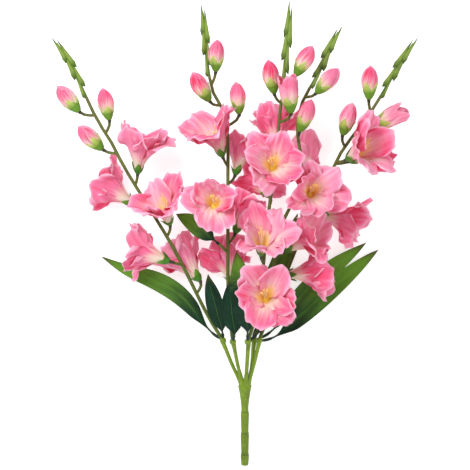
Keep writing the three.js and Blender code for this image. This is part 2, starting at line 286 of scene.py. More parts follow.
def smoothed(rows, count):
    """Points on a smooth curve through the rows."""
    rows = np.asarray(rows, float)
    padded = np.concatenate([[2 * rows[0] - rows[1]], rows, [2 * rows[-1] - rows[-2]]])
    spots = np.linspace(0, len(rows) - 1, count)
    index = np.minimum(spots.astype(int), len(rows) - 2)
    t = (spots - index).reshape((-1,) + (1,) * (rows.ndim - 1))
    a, b, c, d = (padded[index + i] for i in range(4))
    return 0.5 * (
        2 * b + (c - a) * t + (2 * a - 5 * b + 4 * c - d) * t**2 + (3 * b - a - 3 * c + d) * t**3
    )


def smooth(value, low, high):
    """0 below low, 1 above high, and an even slope between."""
    t = np.clip((value - low) / (high - low), 0, 1)
    return t * t * (3 - 2 * t)


def chance(name):
    """A random source that is the same on each run."""
    return np.random.default_rng(zlib.crc32(name.encode()))


# Building meshes


class Shape:
    """Corners, faces and painted values of a mesh while it grows."""

    def __init__(self):
        self.points = []
        self.faces = []
        self.values = []
        self.count = 0

    def add(self, points, faces, **values):
        points = points.reshape(-1, 3)
        self.points.append(points)
        self.faces += [[corner + self.count for corner in face] for face in faces]
        self.values.append((len(points), values))
        self.count += len(points)

    def sheet(self, grid, thickness, **values):
        """A thin closed sheet over a grid of points, with an inner and an outer face."""
        rows, columns = grid.shape[:2]
        index = np.arange(rows * columns).reshape(rows, columns)
        low, right = index[:-1, :-1], index[:-1, 1:]
        high, corner = index[1:, :-1], index[1:, 1:]
        front = np.stack([low, right, corner, high], -1).reshape(-1, 4)
        back = front[:, ::-1] + rows * columns
        edge = np.concatenate([index[0, :-1], index[:-1, -1], index[-1, :0:-1], index[:0:-1, 0]])
        ahead = np.roll(edge, -1)
        rim = np.stack([ahead, edge, edge + rows * columns, ahead + rows * columns], -1)
        half = normals(grid) * (thickness / 2)
        both = {
            name: np.concatenate([np.broadcast_to(value, (rows, columns)).ravel()] * 2)
            for name, value in values.items()
        }
        both["inner"] = np.repeat([0.0, 1.0], rows * columns)
        points = np.concatenate([grid + half, grid - half])
        self.add(points, np.concatenate([front, back, rim]).tolist(), **both)

    def rings(self, rings, **values):
        """A closed body over rings of points, with a point at each end."""
        count, sides = rings.shape[:2]
        index = np.arange(count * sides).reshape(count, sides)
        ahead = np.roll(index, -1, axis=1)
        walls = np.stack([index[:-1], ahead[:-1], ahead[1:], index[1:]], -1).reshape(-1, 4)
        first, last = count * sides, count * sides + 1
        caps = [[first, ahead[0, i], index[0, i]] for i in range(sides)]
        caps += [[last, index[-1, i], ahead[-1, i]] for i in range(sides)]
        ends = np.stack([rings[0].mean(0), rings[-1].mean(0)])
        full = {}
        for name, value in values.items():
            value = np.broadcast_to(value, (count,))
            full[name] = np.concatenate([np.repeat(value, sides), value[[0, -1]]])
        points = np.concatenate([rings.reshape(-1, 3), ends])
        self.add(points, walls.tolist() + caps, **full)

    def tube(self, path, radii, sides=8, squash=1.0, side=None, **values):
        """A round or flattened body along a path."""
        forward = np.gradient(path, axis=0)
        forward /= np.linalg.norm(forward, axis=1, keepdims=True)
        if side is None:
            side = np.eye(3)[np.argmin(np.abs(forward[0]))]
        wide = side - (forward @ side)[:, None] * forward
        wide /= np.linalg.norm(wide, axis=1, keepdims=True)
        thin = np.cross(forward, wide)
        turn = np.linspace(0, math.tau, sides, endpoint=False)
        rings = (
            path[:, None]
            + radii[:, None, None] * np.cos(turn)[None, :, None] * wide[:, None]
            + squash * radii[:, None, None] * np.sin(turn)[None, :, None] * thin[:, None]
        )
        self.rings(rings, **values)

    def lifted(self, points):
        """Points that would sink into the table, laid flat on it."""
        height = points[:, 2]
        points[:, 2] = np.where(height < FLOOR_GAP, FLOOR_GAP + (height - FLOOR_GAP) * 0.02, height)
        return points

    def piece(self, name, material, slot, nodes=()):
        """A smooth object that rides on the root and takes over its nodes."""
        mesh = bpy.data.meshes.new(name)
        points = self.lifted(np.concatenate(self.points))
        mesh.from_pydata(points.tolist(), [], self.faces)
        for value_name in sorted({key for _, values in self.values for key in values}):
            spread = np.concatenate([
                np.broadcast_to(values.get(value_name, 0.0), (count,))
                for count, values in self.values
            ])
            layer = mesh.attributes.new(value_name, "FLOAT", "POINT")
            layer.data.foreach_set("value", spread)
        mesh.materials.append(material)
        return finished(linked(name, mesh), nodes)


def linked(name, data):
    """A new object in the scene."""
    thing = bpy.data.objects.new(name, data)
    bpy.context.scene.collection.objects.link(thing)
    return thing


def finished(piece, nodes):
    """Smooths a piece's shading and ties it to the frame."""
    piece.data.polygons.foreach_set("use_smooth", [True] * len(piece.data.polygons))
    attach(piece, "root")
    if nodes:
        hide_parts(*nodes)
    return piece


# How far a skin is pushed out again: on its own, and over added parts
PLAIN_SWELL = 0.85 * MM
JOINED_SWELL = 0.3 * MM


def moulded_skin(name, node, grain, rounds, material, added=None):
    """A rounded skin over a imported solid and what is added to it, with all joints run together."""
    source = Solid(node)
    shape = Shape()
    shape.add(source.points, source.triangles.tolist())
    if added:
        shape.add(np.concatenate(added.points), added.faces)
    mesh = bpy.data.meshes.new(name)
    mesh.from_pydata(np.concatenate(shape.points).tolist(), [], shape.faces)
    rough = linked(name + "_rough", mesh)
    remesh = rough.modifiers.new("grain", "REMESH")
    remesh.mode = "VOXEL"
    remesh.voxel_size = grain
    relax = rough.modifiers.new("relax", "SMOOTH")
    relax.factor = 0.5
    relax.iterations = rounds
    swell = rough.modifiers.new("swell", "DISPLACE")
    swell.mid_level = 0
    swell.strength = JOINED_SWELL if added else PLAIN_SWELL
    seen = rough.evaluated_get(bpy.context.evaluated_depsgraph_get())
    skin = bpy.data.meshes.new_from_object(seen)
    skin.name = name
    skin.materials.clear()
    skin.materials.append(material)
    bpy.data.objects.remove(rough)
    return finished(linked(name, skin), [node])


# Painting


class Value:
    """A socket of a material that takes Python's arithmetic."""

    def __init__(self, paint, socket):
        self.paint = paint
        self.socket = socket

    def calculate(self, operation, *others):
        return self.paint.add(
            "ShaderNodeMath", {"operation": operation}, dict(enumerate((self,) + others))
        )

    def __add__(self, other):
        return self.calculate("ADD", other)

    def __mul__(self, other):
        return self.calculate("MULTIPLY", other)

    def __sub__(self, other):
        return self.calculate("SUBTRACT", other)

    def __rsub__(self, other):
        return self.paint.add("ShaderNodeMath", {"operation": "SUBTRACT"}, {0: other, 1: self})

    def __pow__(self, other):
        return self.calculate("POWER", other)

    def __abs__(self):
        return self.calculate("ABSOLUTE")

    __radd__ = __add__
    __rmul__ = __mul__

    def sine(self):
        return self.calculate("SINE")

    def cosine(self):
        return self.calculate("COSINE")


class Paint:
    """A material whose nodes are made by expressions."""

    def __init__(self, name, **constants):
        self.material = bpy.data.materials.new(name)
        self.material.use_nodes = True
        self.tree = self.material.node_tree
        self.shader = self.tree.nodes["Principled BSDF"]
        for socket, value in constants.items():
            self.shader.inputs[socket.replace("_", " ")].default_value = value

    def add(self, kind, settings, inputs, output=0):
        """A node of any type: its settings first, then the values or links it takes."""
        node = self.tree.nodes.new(kind)
        for setting, value in settings.items():
            setattr(node, setting, value)
        for socket, value in inputs.items():
            self.feed(node.inputs[socket], value)
        return Value(self, node.outputs[output])

    def feed(self, socket, value):
        if isinstance(value, Value):
            self.tree.links.new(value.socket, socket)
        elif socket.type == "RGBA":
            socket.default_value = (*value, 1)
        else:
            socket.default_value = value

    def painted(self, name):
        """A value that was painted on the mesh."""
        return self.add("ShaderNodeAttribute", {"attribute_name": name}, {}, "Fac")

    def step(self, value, low, high):
        smoothly = {"interpolation_type": "SMOOTHSTEP"}
        limits = {"Value": value, "From Min": low, "From Max": high}
        return self.add("ShaderNodeMapRange", smoothly, limits)

    def vector(self, x, y, z):
        return self.add("ShaderNodeCombineXYZ", {}, {0: x, 1: y, 2: z})

    def position(self):
        return self.add("ShaderNodeTexCoord", {}, {}, "Object")

    def noise(self, vector, scale, detail=3.0):
        return self.add(
            "ShaderNodeTexNoise", {}, {"Vector": vector, "Scale": scale, "Detail": detail}
        )

    def mix(self, share, first, second):
        """A colour between two colours."""
        return self.add("ShaderNodeMix", {"data_type": "RGBA"}, {0: share, 6: first, 7: second}, 2)

    def layered(self, colour, *layers):
        """A colour with others laid over it in turn, each by a share."""
        for share, over in layers:
            colour = self.mix(share, colour, over)
        return colour

    def finish(self, colour, roughness, height, depth, strength):
        """Feeds the shader's colour, roughness and bump."""
        bump = self.add(
            "ShaderNodeBump", {}, {"Height": height, "Distance": depth, "Strength": strength}
        )
        self.feed(self.shader.inputs["Base Color"], colour)
        self.feed(self.shader.inputs["Roughness"], roughness)
        self.feed(self.shader.inputs["Normal"], bump)
        return self.material


# A faint, even glow in place of the light that comes through thin fabric
LIGHT_THROUGH_FABRIC = (0.07, 0.0, 0.004, 1.0)


def petal_fabric(name, colours, whiteness, streaks, greenness):
    """Crinkled, heat-set petal fabric: pink, with a pale root, throat and hem."""
    paint = Paint(
        name, Sheen_Weight=0.05, Specular_IOR_Level=0.2,
        Subsurface_Weight=0.4, Subsurface_Radius=(1.0, 0.8, 0.8), Subsurface_Scale=1 * MM,
        Emission_Color=LIGHT_THROUGH_FABRIC, Emission_Strength=1.0,
    )
    along, across, inner, tint = map(paint.painted, ("along", "across", "inner", "tint"))
    throat = paint.painted("throat")
    ridge = paint.painted("height") * (inner * 2 - 1)
    creases = paint.noise(paint.vector(across * 9, along * 1.6, tint * 40), 1.0, 4.0)
    clouds = paint.noise(paint.vector(across * 2, along * 2.4, tint * 31), 1.0, 2.0)
    deep_tone_and_fold_shade = paint.step(creases, 0.45, 0.8) * 0.5 + paint.step(clouds, 0.45, 0.8) * 0.3
    # Painted shade: the valleys of the folds are darkened towards the fold colour, over random darker
    # blotches, streaks and tint.
    deep_tone_and_fold_shade = deep_tone_and_fold_shade + paint.step(0 - ridge, 0.1, 1.3) * 0.45
    deep_tone_and_fold_shade = deep_tone_and_fold_shade + paint.step(creases, 0.35, 0.65) * streaks + (1 - tint) ** 2 * 0.3
    deep_tone_and_fold_shade = deep_tone_and_fold_shade * (1 - paint.step(along, 0.75, 1.0) * 0.6)
    # Painted highlight: the ridges of the folds are lightened towards the hem colour; a high random
    # tint also makes a petal paler.
    ridge_highlight_and_pale_tone = paint.step(ridge, 0.1, 1.4) * 0.4 + tint**2 * 0.45
    hem = paint.step(along + abs(across) ** 4 * 0.12, 0.88, 1.06) * 0.8
    pale = colours.petal_pale
    pink = paint.layered(colours.petal, (deep_tone_and_fold_shade, colours.petal_deep), (ridge_highlight_and_pale_tone, pale), (hem, pale))
    frayed = along + (creases - 0.5) * 0.4
    root = (1 - paint.step(frayed + abs(across) * 0.15, 0.15, whiteness)) * 0.9
    green = (1 - paint.step(frayed, 0.2, 0.46)) * greenness
    outside = paint.layered(pink, (root, colours.petal_white), (green, colours.calyx_pale))
    halo = (1 - paint.step(frayed + abs(across) * 0.3, 0.28, 1.0)) * (0.95 - throat * 0.28)
    glow = (1 - paint.step(frayed + abs(across) * 0.25, 0.3, 0.62)) * throat
    pit = 1 - paint.step(frayed, 0.05, 0.3)
    layers = (halo, colours.petal_white), (glow, colours.throat), (pit, colours.throat_deep)
    colour = paint.mix(inner, outside, paint.layered(pink, *layers))
    weave = (across * 420).sine() * (along * 560).sine()
    veins = paint.noise(paint.vector(across * 24, along * 2.2, tint * 17), 1.0, 3.0)
    height = creases * 1.5 + veins * 0.9 + weave * 0.08
    return paint.finish(colour, 0.72 + creases * 0.2, height, 0.7 * MM, 0.8)


def moulded_green(name, base, pale, dark):
    """Moulded plastic that runs from one green to another, with a soft grain."""
    paint = Paint(name, Specular_IOR_Level=0.3, Subsurface_Weight=0.05, Subsurface_Scale=1 * MM)
    along = paint.painted("along")
    spots = paint.noise(paint.position(), 260.0, 4.0)
    broad = paint.noise(paint.position(), 45.0, 2.0)
    share = paint.step(along + (spots - 0.5) * 0.3, 0.35, 1.0)
    patches, socket = paint.step(broad, 0.5, 0.8) * 0.5, paint.painted("socket")
    colour = paint.layered(base, (share, pale), (patches, dark), (socket, dark))
    return paint.finish(colour, 0.42 + broad * 0.2, spots, 0.25 * MM, 0.4)


def stem_plastic(name, low, high, start, stop, pitch=None):
    """Moulded stem: one colour near the grip and another near the tips, with ring joints, painted
    shade in blotches and painted highlights in streaks.
    """
    paint = Paint(name, Specular_IOR_Level=0.3)
    place = paint.position()
    height = paint.add("ShaderNodeSeparateXYZ", {}, {0: place}, "Y")
    stretched = paint.add(
        "ShaderNodeVectorMath", {"operation": "MULTIPLY"}, {0: place, 1: (1.0, 0.12, 1.0)}
    )
    streaks = paint.noise(stretched, 420.0, 3.0)
    blotches = paint.noise(place, 60.0, 3.0)
    # Painted shade in random blotches and painted highlights along the streaks; the shade colour also
    # darkens the ring joints.
    shade = [channel * 0.4 for channel in low]
    light = [min(channel * 2.2, 1) for channel in low]
    colour = paint.layered(
        low,
        (paint.step(height + (blotches - 0.5) * 0.12, start, stop), high),
        (paint.step(blotches, 0.48, 0.75) * 0.6, shade),
        (paint.step(streaks, 0.5, 0.75) * 0.45, light),
    )
    if pitch:
        wave = abs(((height - start) * (math.pi / pitch)).cosine())
        joint = (1 - paint.step(wave, 0.03, 0.14)) * (1 - paint.step(height - start, 0.09, 0.1))
        colour = paint.mix(joint * 0.55, colour, shade)
    return paint.finish(colour, 0.38 + blotches * 0.25, streaks, 0.3 * MM, 0.45)


# The dry colour at a leaf's point
LEAF_POINT = (0.09, 0.075, 0.02)


def leaf_fabric(colours):
    """Coated leaf fabric with embossed veins that run to the point, with painted shade and painted
    highlights.
    """
    paint = Paint("leaf_fabric", Specular_IOR_Level=0.2)
    along, across, tint, inner = map(paint.painted, ("along", "across", "tint", "inner"))
    veins = (abs(across) * 46 + along * 5).sine()
    patches = paint.noise(paint.vector(across * 1.6, along * 5, tint * 23), 1.0, 4.0)
    fine = paint.noise(paint.vector(across * 14, along * 18, tint * 9), 1.0, 3.0)
    # Lighter along the leaf and in random patches; the tint painted on each leaf is painted shade and
    # keeps it darker.
    light = paint.step(along + (patches - 0.5) * 0.5 - tint * 0.9, 0.14, 0.82)
    # Painted highlight: random patches and one side of the midrib on the dark leaves are lightened
    # with the rib colour.
    painted_highlight = paint.step(patches, 0.35, 0.7) * 0.6 + paint.step(across, -0.1, 0.1) * 0.3
    pale = [min(1, channel * 1.6) for channel in colours.leaf]
    back = [channel * 0.6 + 0.05 for channel in colours.leaf]
    midrib = 1 - paint.step(abs(across), 0.01, 0.06)
    colour = paint.layered(
        colours.leaf_dark,
        (painted_highlight, colours.rib),
        (light, colours.leaf),
        (paint.step(veins, 0.3, 1.0) * light * 0.25, pale),
        (paint.step(fine, 0.55, 0.8) * 0.2, colours.leaf_dark),
        (midrib * (0.2 + light * 0.2), pale),
        (paint.step(along + abs(across) * 0.08, 0.86, 1.05), LEAF_POINT),
        ((1 - inner) * 0.4, back),
    )
    return paint.finish(colour, 0.45 + fine * 0.3, veins * 0.5 + fine * 0.6, 0.4 * MM, 0.6)


STAMEN_PALE = (0.90, 0.82, 0.50)


def stamen_plastic(colours):
    """Pale stamens with darker ends."""
    paint = Paint("stamen_plastic", Specular_IOR_Level=0.4)
    along = paint.painted("along")
    grain = paint.noise(paint.position(), 700.0, 2.0)
    colour = paint.mix(paint.step(along, 0.7, 0.85), STAMEN_PALE, colours.throat)
    colour = paint.mix(paint.painted("socket"), colour, colours.throat_deep)
    return paint.finish(colour, 0.5 + grain * 0.2, grain, 0.2 * MM, 0.4)


# Shapes of the flowers

# Places along a socket, and its radii there as shares of the sleeve's
SLEEVE_PLACES = (0, 0.2, 0.4, 0.95, 1)
SLEEVE_RADII = (1.35, 1.25, 1.0, 0.95, 0.7)

# How strongly each petal of a bloom shows the yellow of the throat
THROAT_STRENGTH = (1.0, 0.9, 0.35, 0.15, 0.35, 0.9)

# Outlines around a flower's axis: each row is a share of its radius and one of its length.
# A calyx has two rows, its mouth and the points of its sepals. The cup's rows are shares
# of that mouth.
BLOOM_CALYX = ((0.2, 0.15), (0.31, 0.29))
BUD_CALYX = ((0.95, 0.31), (1.28, 0.52))
CUP = ((0.3, 0.08), (0.52, 0.22), (0.84, 0.6), (1.0, 0.95), (0.8, 1.0))
THROAT_FLOOR = ((0.09, 0.07), (0.13, 0.12), (0.155, 0.16), (0.1, 0.185), (0.01, 0.19))
CLOSED_BUD = ((0.42, 0.1), (0.85, 0.3), (1.14, 0.53), (1.08, 0.75), (0.66, 0.95), (0.04, 1.07))
OPENED_BUD = ((0.42, 0.1), (0.82, 0.3), (1.14, 0.54), (1.24, 0.77), (1.3, 0.98), (1.16, 1.12))


def petal_line(seat, inside, upper, source):
    """The middle line of a petal: its radius, height and tilt at even steps."""
    reach = seat.length * (1.16 - 0.08 * inside + 0.05 * upper) * source.uniform(0.92, 1.08)
    share = np.linspace(0, 1.1, 111)
    opening = 0.3 - 0.05 * inside
    spread = source.uniform(0.7, 1.15) - 0.1 * inside + 0.1 * seat.axis[2] - 0.2 * upper
    curl = source.uniform(-0.9, 1.1)
    tilt = opening + (spread - opening) * share**1.2 + curl * share**5
    step = reach * (share[1] - share[0])
    radius = 0.1 * seat.radius + np.cumsum(np.sin(tilt)) * step
    height = 0.06 * seat.length + np.cumsum(np.cos(tilt)) * step
    return share, radius, height, tilt


def petal_grid(seat, number, sizes, source):
    """Points of one bloom petal, and how far along and across it they are."""
    inside = number % 2
    v, u = shares(sizes.petal_rows + 1, sizes.petal_columns + 1)
    lag = source.uniform(0, math.tau, 10)
    edge = np.abs(u)
    outline = 1 - 0.3 * edge**3 + 0.02 * np.exp(-((u / 0.2) ** 2)) * v**3
    frill = 0.025 * np.sin(6 * u + lag[0]) + 0.012 * np.sin(13 * u + lag[1])
    t = v * (outline + frill * v**4)
    share, radius, height, tilt = petal_line(seat, inside, math.cos(number * math.pi / 3), source)
    radius, height, tilt = (np.interp(t, share, line) for line in (radius, height, tilt))
    half = seat.radius * sizes.petal_reach * source.uniform(0.54, 0.7)
    width = half * (0.13 + 0.87 * np.sin(np.clip(t / 0.74, 0, 1) * math.pi / 2) ** 1.5)
    loose = smooth(t, 0.3, 0.85)
    bend = np.cos(tilt) / radius * (1 - loose) + source.uniform(-15, 28) * loose
    bend = np.where(np.abs(bend) < 1, 1.0, bend)
    sideways = np.sin(bend * u * width) / bend
    rise = (1 - np.cos(bend * u * width)) / bend
    roll = source.uniform(-0.5, 0.5) * smooth(t, 0.2, 1)
    sideways, rise = turned(sideways, rise, roll)
    wave = 0.8 * edge**1.5 * np.sin(14 * v + lag[2] + np.sign(u) * lag[3]) * smooth(v, 0.2, 0.7)
    wave = wave + 0.6 * v**4 * np.sin(6.5 * u + lag[4]) + 0.3 * v**5 * np.sin(12 * u + lag[5])
    wave = wave + 0.5 * np.sin(2.4 * u + 4 * v + lag[6]) * smooth(v, 0.3, 1)
    fold = np.sin(15 * u + 2.2 * np.sin(3.5 * v + lag[7])) * smooth(v, 0.15, 0.5)
    fold = fold + 0.6 * np.sin(22 * u + 5 * v + lag[8]) * smooth(v, 0.3, 0.8)
    rise = rise + sizes.ruffle * wave + sizes.crease * fold + 1.0 * MM * inside
    turn = number * math.pi / 3 + source.uniform(-0.12, 0.12) + source.uniform(-0.25, 0.25) * t
    out, up = radius - np.cos(tilt) * rise, height + np.sin(tilt) * rise
    return seat.place(*turned(out, sideways, turn), up), v, u, wave + 0.4 * fold


def add_petals(shape, seat, sizes, source):
    for number in range(6):
        grid, v, u, height = petal_grid(seat, number, sizes, source)
        tint, throat = source.uniform(), THROAT_STRENGTH[number]
        shape.sheet(grid, sizes.fabric, along=v, across=u, height=height, tint=tint, throat=throat)


def add_sepal(shape, seat, turn, low, high, spread, thickness, flick):
    """A pointed sepal between two places, each a radius and a height."""
    v, u = shares(12, 7)
    z = low[1] + (high[1] - low[1]) * v
    r = low[0] + (high[0] - low[0]) * v + flick * v**4 + 0 * u
    narrow = spread * (1 - v**1.3) ** 0.85 * low[0] / r + 0.02
    angle = turn + u * narrow
    r = r + 0.15 * thickness * np.cos(3 * math.pi * u) - 0.06 * low[0] * u**2
    grid = seat.around(r, angle, z)
    shape.sheet(grid, thickness * (1 - 0.6 * v[..., None]), along=0.5 + v / 2, socket=0.0)


def add_cup(shape, seat, profile, sides=14, **values):
    """A round body on a flower's axis: each row is a radius and a height."""
    turn = np.linspace(0, math.tau, sides, endpoint=False)
    shape.rings(seat.around(profile[:, :1], turn, profile[:, 1:]), **values)


def add_calyx(shape, seat, outline, sepals, sizes, source, flick):
    """A cup on its dark socket, and the sepals around it."""
    inside = seat.base + seat.axis * sizes.sleeve * 1.4
    line = smoothed(np.concatenate([[inside], seat.stalk]), 16)
    swell = sizes.sleeve * np.interp(np.linspace(0, 1, 16), SLEEVE_PLACES, SLEEVE_RADII)
    shape.tube(line, swell, 10, along=0.0, socket=1.0)
    mouth, point = np.array(outline) * (seat.radius, seat.length)
    low = mouth * (0.93, 0.75)
    add_cup(shape, seat, smoothed(CUP, 10) * mouth, along=np.linspace(0, 0.6, 10), socket=0.0)
    first = source.uniform(0, math.tau)
    for number in range(sepals):
        turn = first + number * math.tau / sepals + source.uniform(-0.2, 0.2)
        high = point * (1, source.uniform(0.85, 1.1))
        spread, bend = source.uniform(0.8, 1.0), flick * source.uniform(0.5, 1.5)
        add_sepal(shape, seat, turn, low, high, spread, sizes.sepal, bend)


def add_stamens(shape, seat, sizes, source):
    """The floor of the throat, with three stamens and a longer style."""
    ground = smoothed(THROAT_FLOOR, 9) * (seat.radius, seat.length)
    add_cup(shape, seat, ground, along=1.0, socket=1.0)
    foot = 0.22 * seat.length
    v = np.linspace(0, 1, 12)
    out = seat.radius * (0.04 + 0.2 * v**1.6)
    for number in range(4):
        style = number == 3
        turn = 0.1 if style else (number - 1) * 0.5
        tall = seat.length * (0.86 if style else source.uniform(0.68, 0.76))
        path = seat.around(out, turn, foot + v * (tall - foot))
        swell = np.where(v > 0.8, 1.3 if style else 2.1, 1.0)
        shape.tube(path, sizes.filament * swell, 7, along=v)


def bud_petal_grid(seat, number, opened, first, source):
    """Points of one rolled petal of a bud, which spreads into a lobe where the bud opens."""
    v, u = shares(25, 15)
    lag = source.uniform(0, math.tau, 2)
    profile = smoothed(OPENED_BUD if opened else CLOSED_BUD, 25)
    r = profile[:, :1] * seat.radius * (1 + 0.025 * (number % 3)) * (0.9 if number > 2 else 1)
    z = profile[:, 1:] * seat.length * source.uniform(0.95, 1.0)
    z = z - seat.length * (0.2 if opened else 0.04) * np.abs(u) ** 2 * smooth(v, 0.6, 1)
    half = 1.75 - (0.85 * smooth(v, 0.45, 1) if opened else 0.45 * smooth(v, 0.55, 1))
    turn = number * 2.1 + (0.2 if opened else first + 0.7 * v) + u * half
    r = r * (1 + 0.035 * u * smooth(v, 0.05, 0.4)) + 0.3 * MM * np.sin(9 * u + lag[0]) * v
    r = r + 0.25 * MM * np.sin(17 * u + 4 * v + lag[1])
    return seat.around(r, turn, z), v, u


def add_bud(petals, greens, seat, opened, sizes, source):
    first = source.uniform(0, math.tau)
    for number in range(6 if opened else 3):
        grid, v, u = bud_petal_grid(seat, number, opened and number < 3, first, source)
        petals.sheet(grid, sizes.fabric * 1.4, along=v, across=u, tint=source.uniform(), throat=0.3)
    add_calyx(greens, seat, BUD_CALYX, 4, sizes, source, 0.5 * MM)


# Operators


class MakeStage(bpy.types.Operator):
    """Make the table, the light and the camera"""

    bl_idname = "bush.stage"
    bl_label = "Stage"

    # The camera: its margin around the bush's length, and its shift towards the tips
    lens = 200
    sensor_width = 36
    margin = 1.003
    shift = 2 * MM

    # The table's half width, in lengths of the bush
    table_reach = 6
    table_glow = 0.65
    room_light = 0.52

    # Each lamp's name, its place from the middle of the bush, its width and its power
    lamps = (
        ("key", (-0.7, 0.7, 1.5), 0.8, 26),
        ("fill", (1.2, -0.4, 1.3), 1.4, 7),
        ("front", (0.0, -1.5, 0.9), 1.2, 5),
    )

    def execute(self, context):
        colours = context.scene.bush_colours
        low, high = (Vector(corner) for corner in CAD_BOX)
        centre, size = (low + high) / 2, high - low
        half = self.table_reach * size.y
        mesh = bpy.data.meshes.new("table")
        corners = [(-half, -half, 0), (half, -half, 0), (half, half, 0), (-half, half, 0)]
        mesh.from_pydata(corners, [], [(0, 1, 2, 3)])
        mesh.materials.append(self.table_paint(colours))
        table = linked("table", mesh)
        context.scene.view_settings.view_transform = "Standard"
        self.make_camera(context, centre, size)
        self.make_lights(context, centre)
        return {"FINISHED"}

    def table_paint(self, colours):
        """Matt paint that glows a little, so that the shadows stay pale."""
        glow = {"Emission_Color": (1, 1, 1, 1), "Emission_Strength": self.table_glow}
        paint = Paint("table_paint", Roughness=0.9, **glow)
        grain = paint.noise(paint.position(), 8.0, 2.0)
        shade = [channel * 0.99 for channel in colours.floor]
        paint.feed(paint.shader.inputs["Base Color"], paint.mix(grain * 0.5, colours.floor, shade))
        return paint.material

    def make_camera(self, context, centre, size):
        """A long lens straight above, which frames the bush from its grip to its tips."""
        data = bpy.data.cameras.new("camera")
        data.lens = self.lens
        data.sensor_width = self.sensor_width
        framed = self.margin * size.y
        distance = framed * data.lens / data.sensor_width
        camera = linked("camera", data)
        camera.location = (centre.x, centre.y + self.shift, size.z * 0.5 + distance)
        data.clip_end = 10 * distance
        context.scene.camera = camera

    def make_lights(self, context, centre):
        world = bpy.data.worlds.new("studio")
        world.use_nodes = True
        background = world.node_tree.nodes["Background"]
        background.inputs["Color"].default_value = (1, 1, 1, 1)
        background.inputs["Strength"].default_value = self.room_light
        context.scene.world = world
        for name, place, width, power in self.lamps:
            data = bpy.data.lights.new(name, "AREA")
            data.size = width
            data.energy = power
            lamp = linked(name, data)
            lamp.location = centre + Vector(place)
            lamp.rotation_mode = "QUATERNION"
            lamp.rotation_quaternion = (centre - lamp.location).to_track_quat("-Z", "Y")


class MakeGrip(bpy.types.Operator):
    """Make the ringed grip with its collar and arms"""

    bl_idname = "bush.grip"
    bl_label = "Grip"

    # The collar's rim is looked for below this share of the grip's length
    collar_share = 0.68

    # Places along a web, from below the collar's rim to the end of its arm, and its radii there
    web_places = (0, 0.25, 0.4, 0.6, 0.85, 0.94, 1)
    web_radii = (4.4 * MM, 4.0 * MM, 3.0 * MM, 2.2 * MM, 2.3 * MM, 3.2 * MM, 2.7 * MM)

    def execute(self, context):
        colours, sizes = settings_of(context)
        light = [min(1, channel * 1.25) for channel in colours.grip]
        low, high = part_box("grip")
        material = stem_plastic(
            "grip_plastic", colours.grip, light, low.y, high.y, sizes.ring_pitch
        )
        solid, added = Solid("grip"), Shape()
        ends = [touching_point(solid, Solid("spray_stem_" + spray)) for spray in SPRAYS]
        foot = solid.points[solid.points[:, 1] < low.y + 1 * MM]
        foot = (foot.min(0) + foot.max(0)) / 2
        axis = unit((np.mean(ends, 0) - foot) * (0, 1, 1))
        heights = (solid.points - foot) @ axis
        offsets = np.linalg.norm(solid.points - foot - heights[:, None] * axis, axis=1)
        offsets[heights > self.collar_share * np.linalg.norm(np.mean(ends, 0) - foot)] = 0
        rim = heights[np.argmax(offsets)]
        self.add_rings(added, solid, foot, axis, sizes)
        for end in ends:
            self.add_arm(added, foot, axis, rim, end)
        moulded_skin("grip_moulding", "grip", sizes.skin, 2, material, added)
        return {"FINISHED"}

    def add_rings(self, added, solid, foot, axis, sizes):
        """Slightly conical lengths that end in a lip at each ring joint."""
        for number in range(3):
            share = np.array((-0.5, 0.45, 0.485, 0.49)) + number
            line = foot + axis * np.maximum(share * sizes.ring_pitch, 1 * MM)[:, None]
            section = solid.slice(line[1] - axis * 4 * MM, axis)
            lip = np.array((-0.3, 1.0, 0.9, -0.3)) * sizes.ring_lip
            added.tube(line, reach_of(section) + lip, 24)

    def add_arm(self, added, foot, axis, rim, end):
        """A web that runs from the collar's rim along an arm, and a funnel at the arm's end."""
        top = foot + axis * rim
        aside = (end - top) * (1, 0, 1)
        aside = unit(aside - (aside @ axis) * axis)
        start = top + axis * 3 * MM + aside * 5.3 * MM
        middle = start * 0.55 + end * 0.45 + aside * 1.3 * MM
        line = smoothed([top - axis * 20 * MM + aside * MM, start, middle, end], 48)
        radii = np.interp(np.linspace(0, 1, 48), self.web_places, self.web_radii)
        added.tube(line, radii, 14)


class MakeStems(bpy.types.Operator):
    """Make the spray stems with their stalks"""

    bl_idname = "bush.stems"
    bl_label = "Spray stems"

    def execute(self, context):
        colours, sizes = settings_of(context)
        low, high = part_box("spray_stem_centre")
        middle = (low.y + high.y) / 2
        material = stem_plastic("stem_plastic", colours.stem, colours.stem_brown, middle, high.y)
        for spray in SPRAYS:
            node = "spray_stem_" + spray
            moulded_skin("stem_" + spray, node, sizes.skin, 3, material)
        return {"FINISHED"}


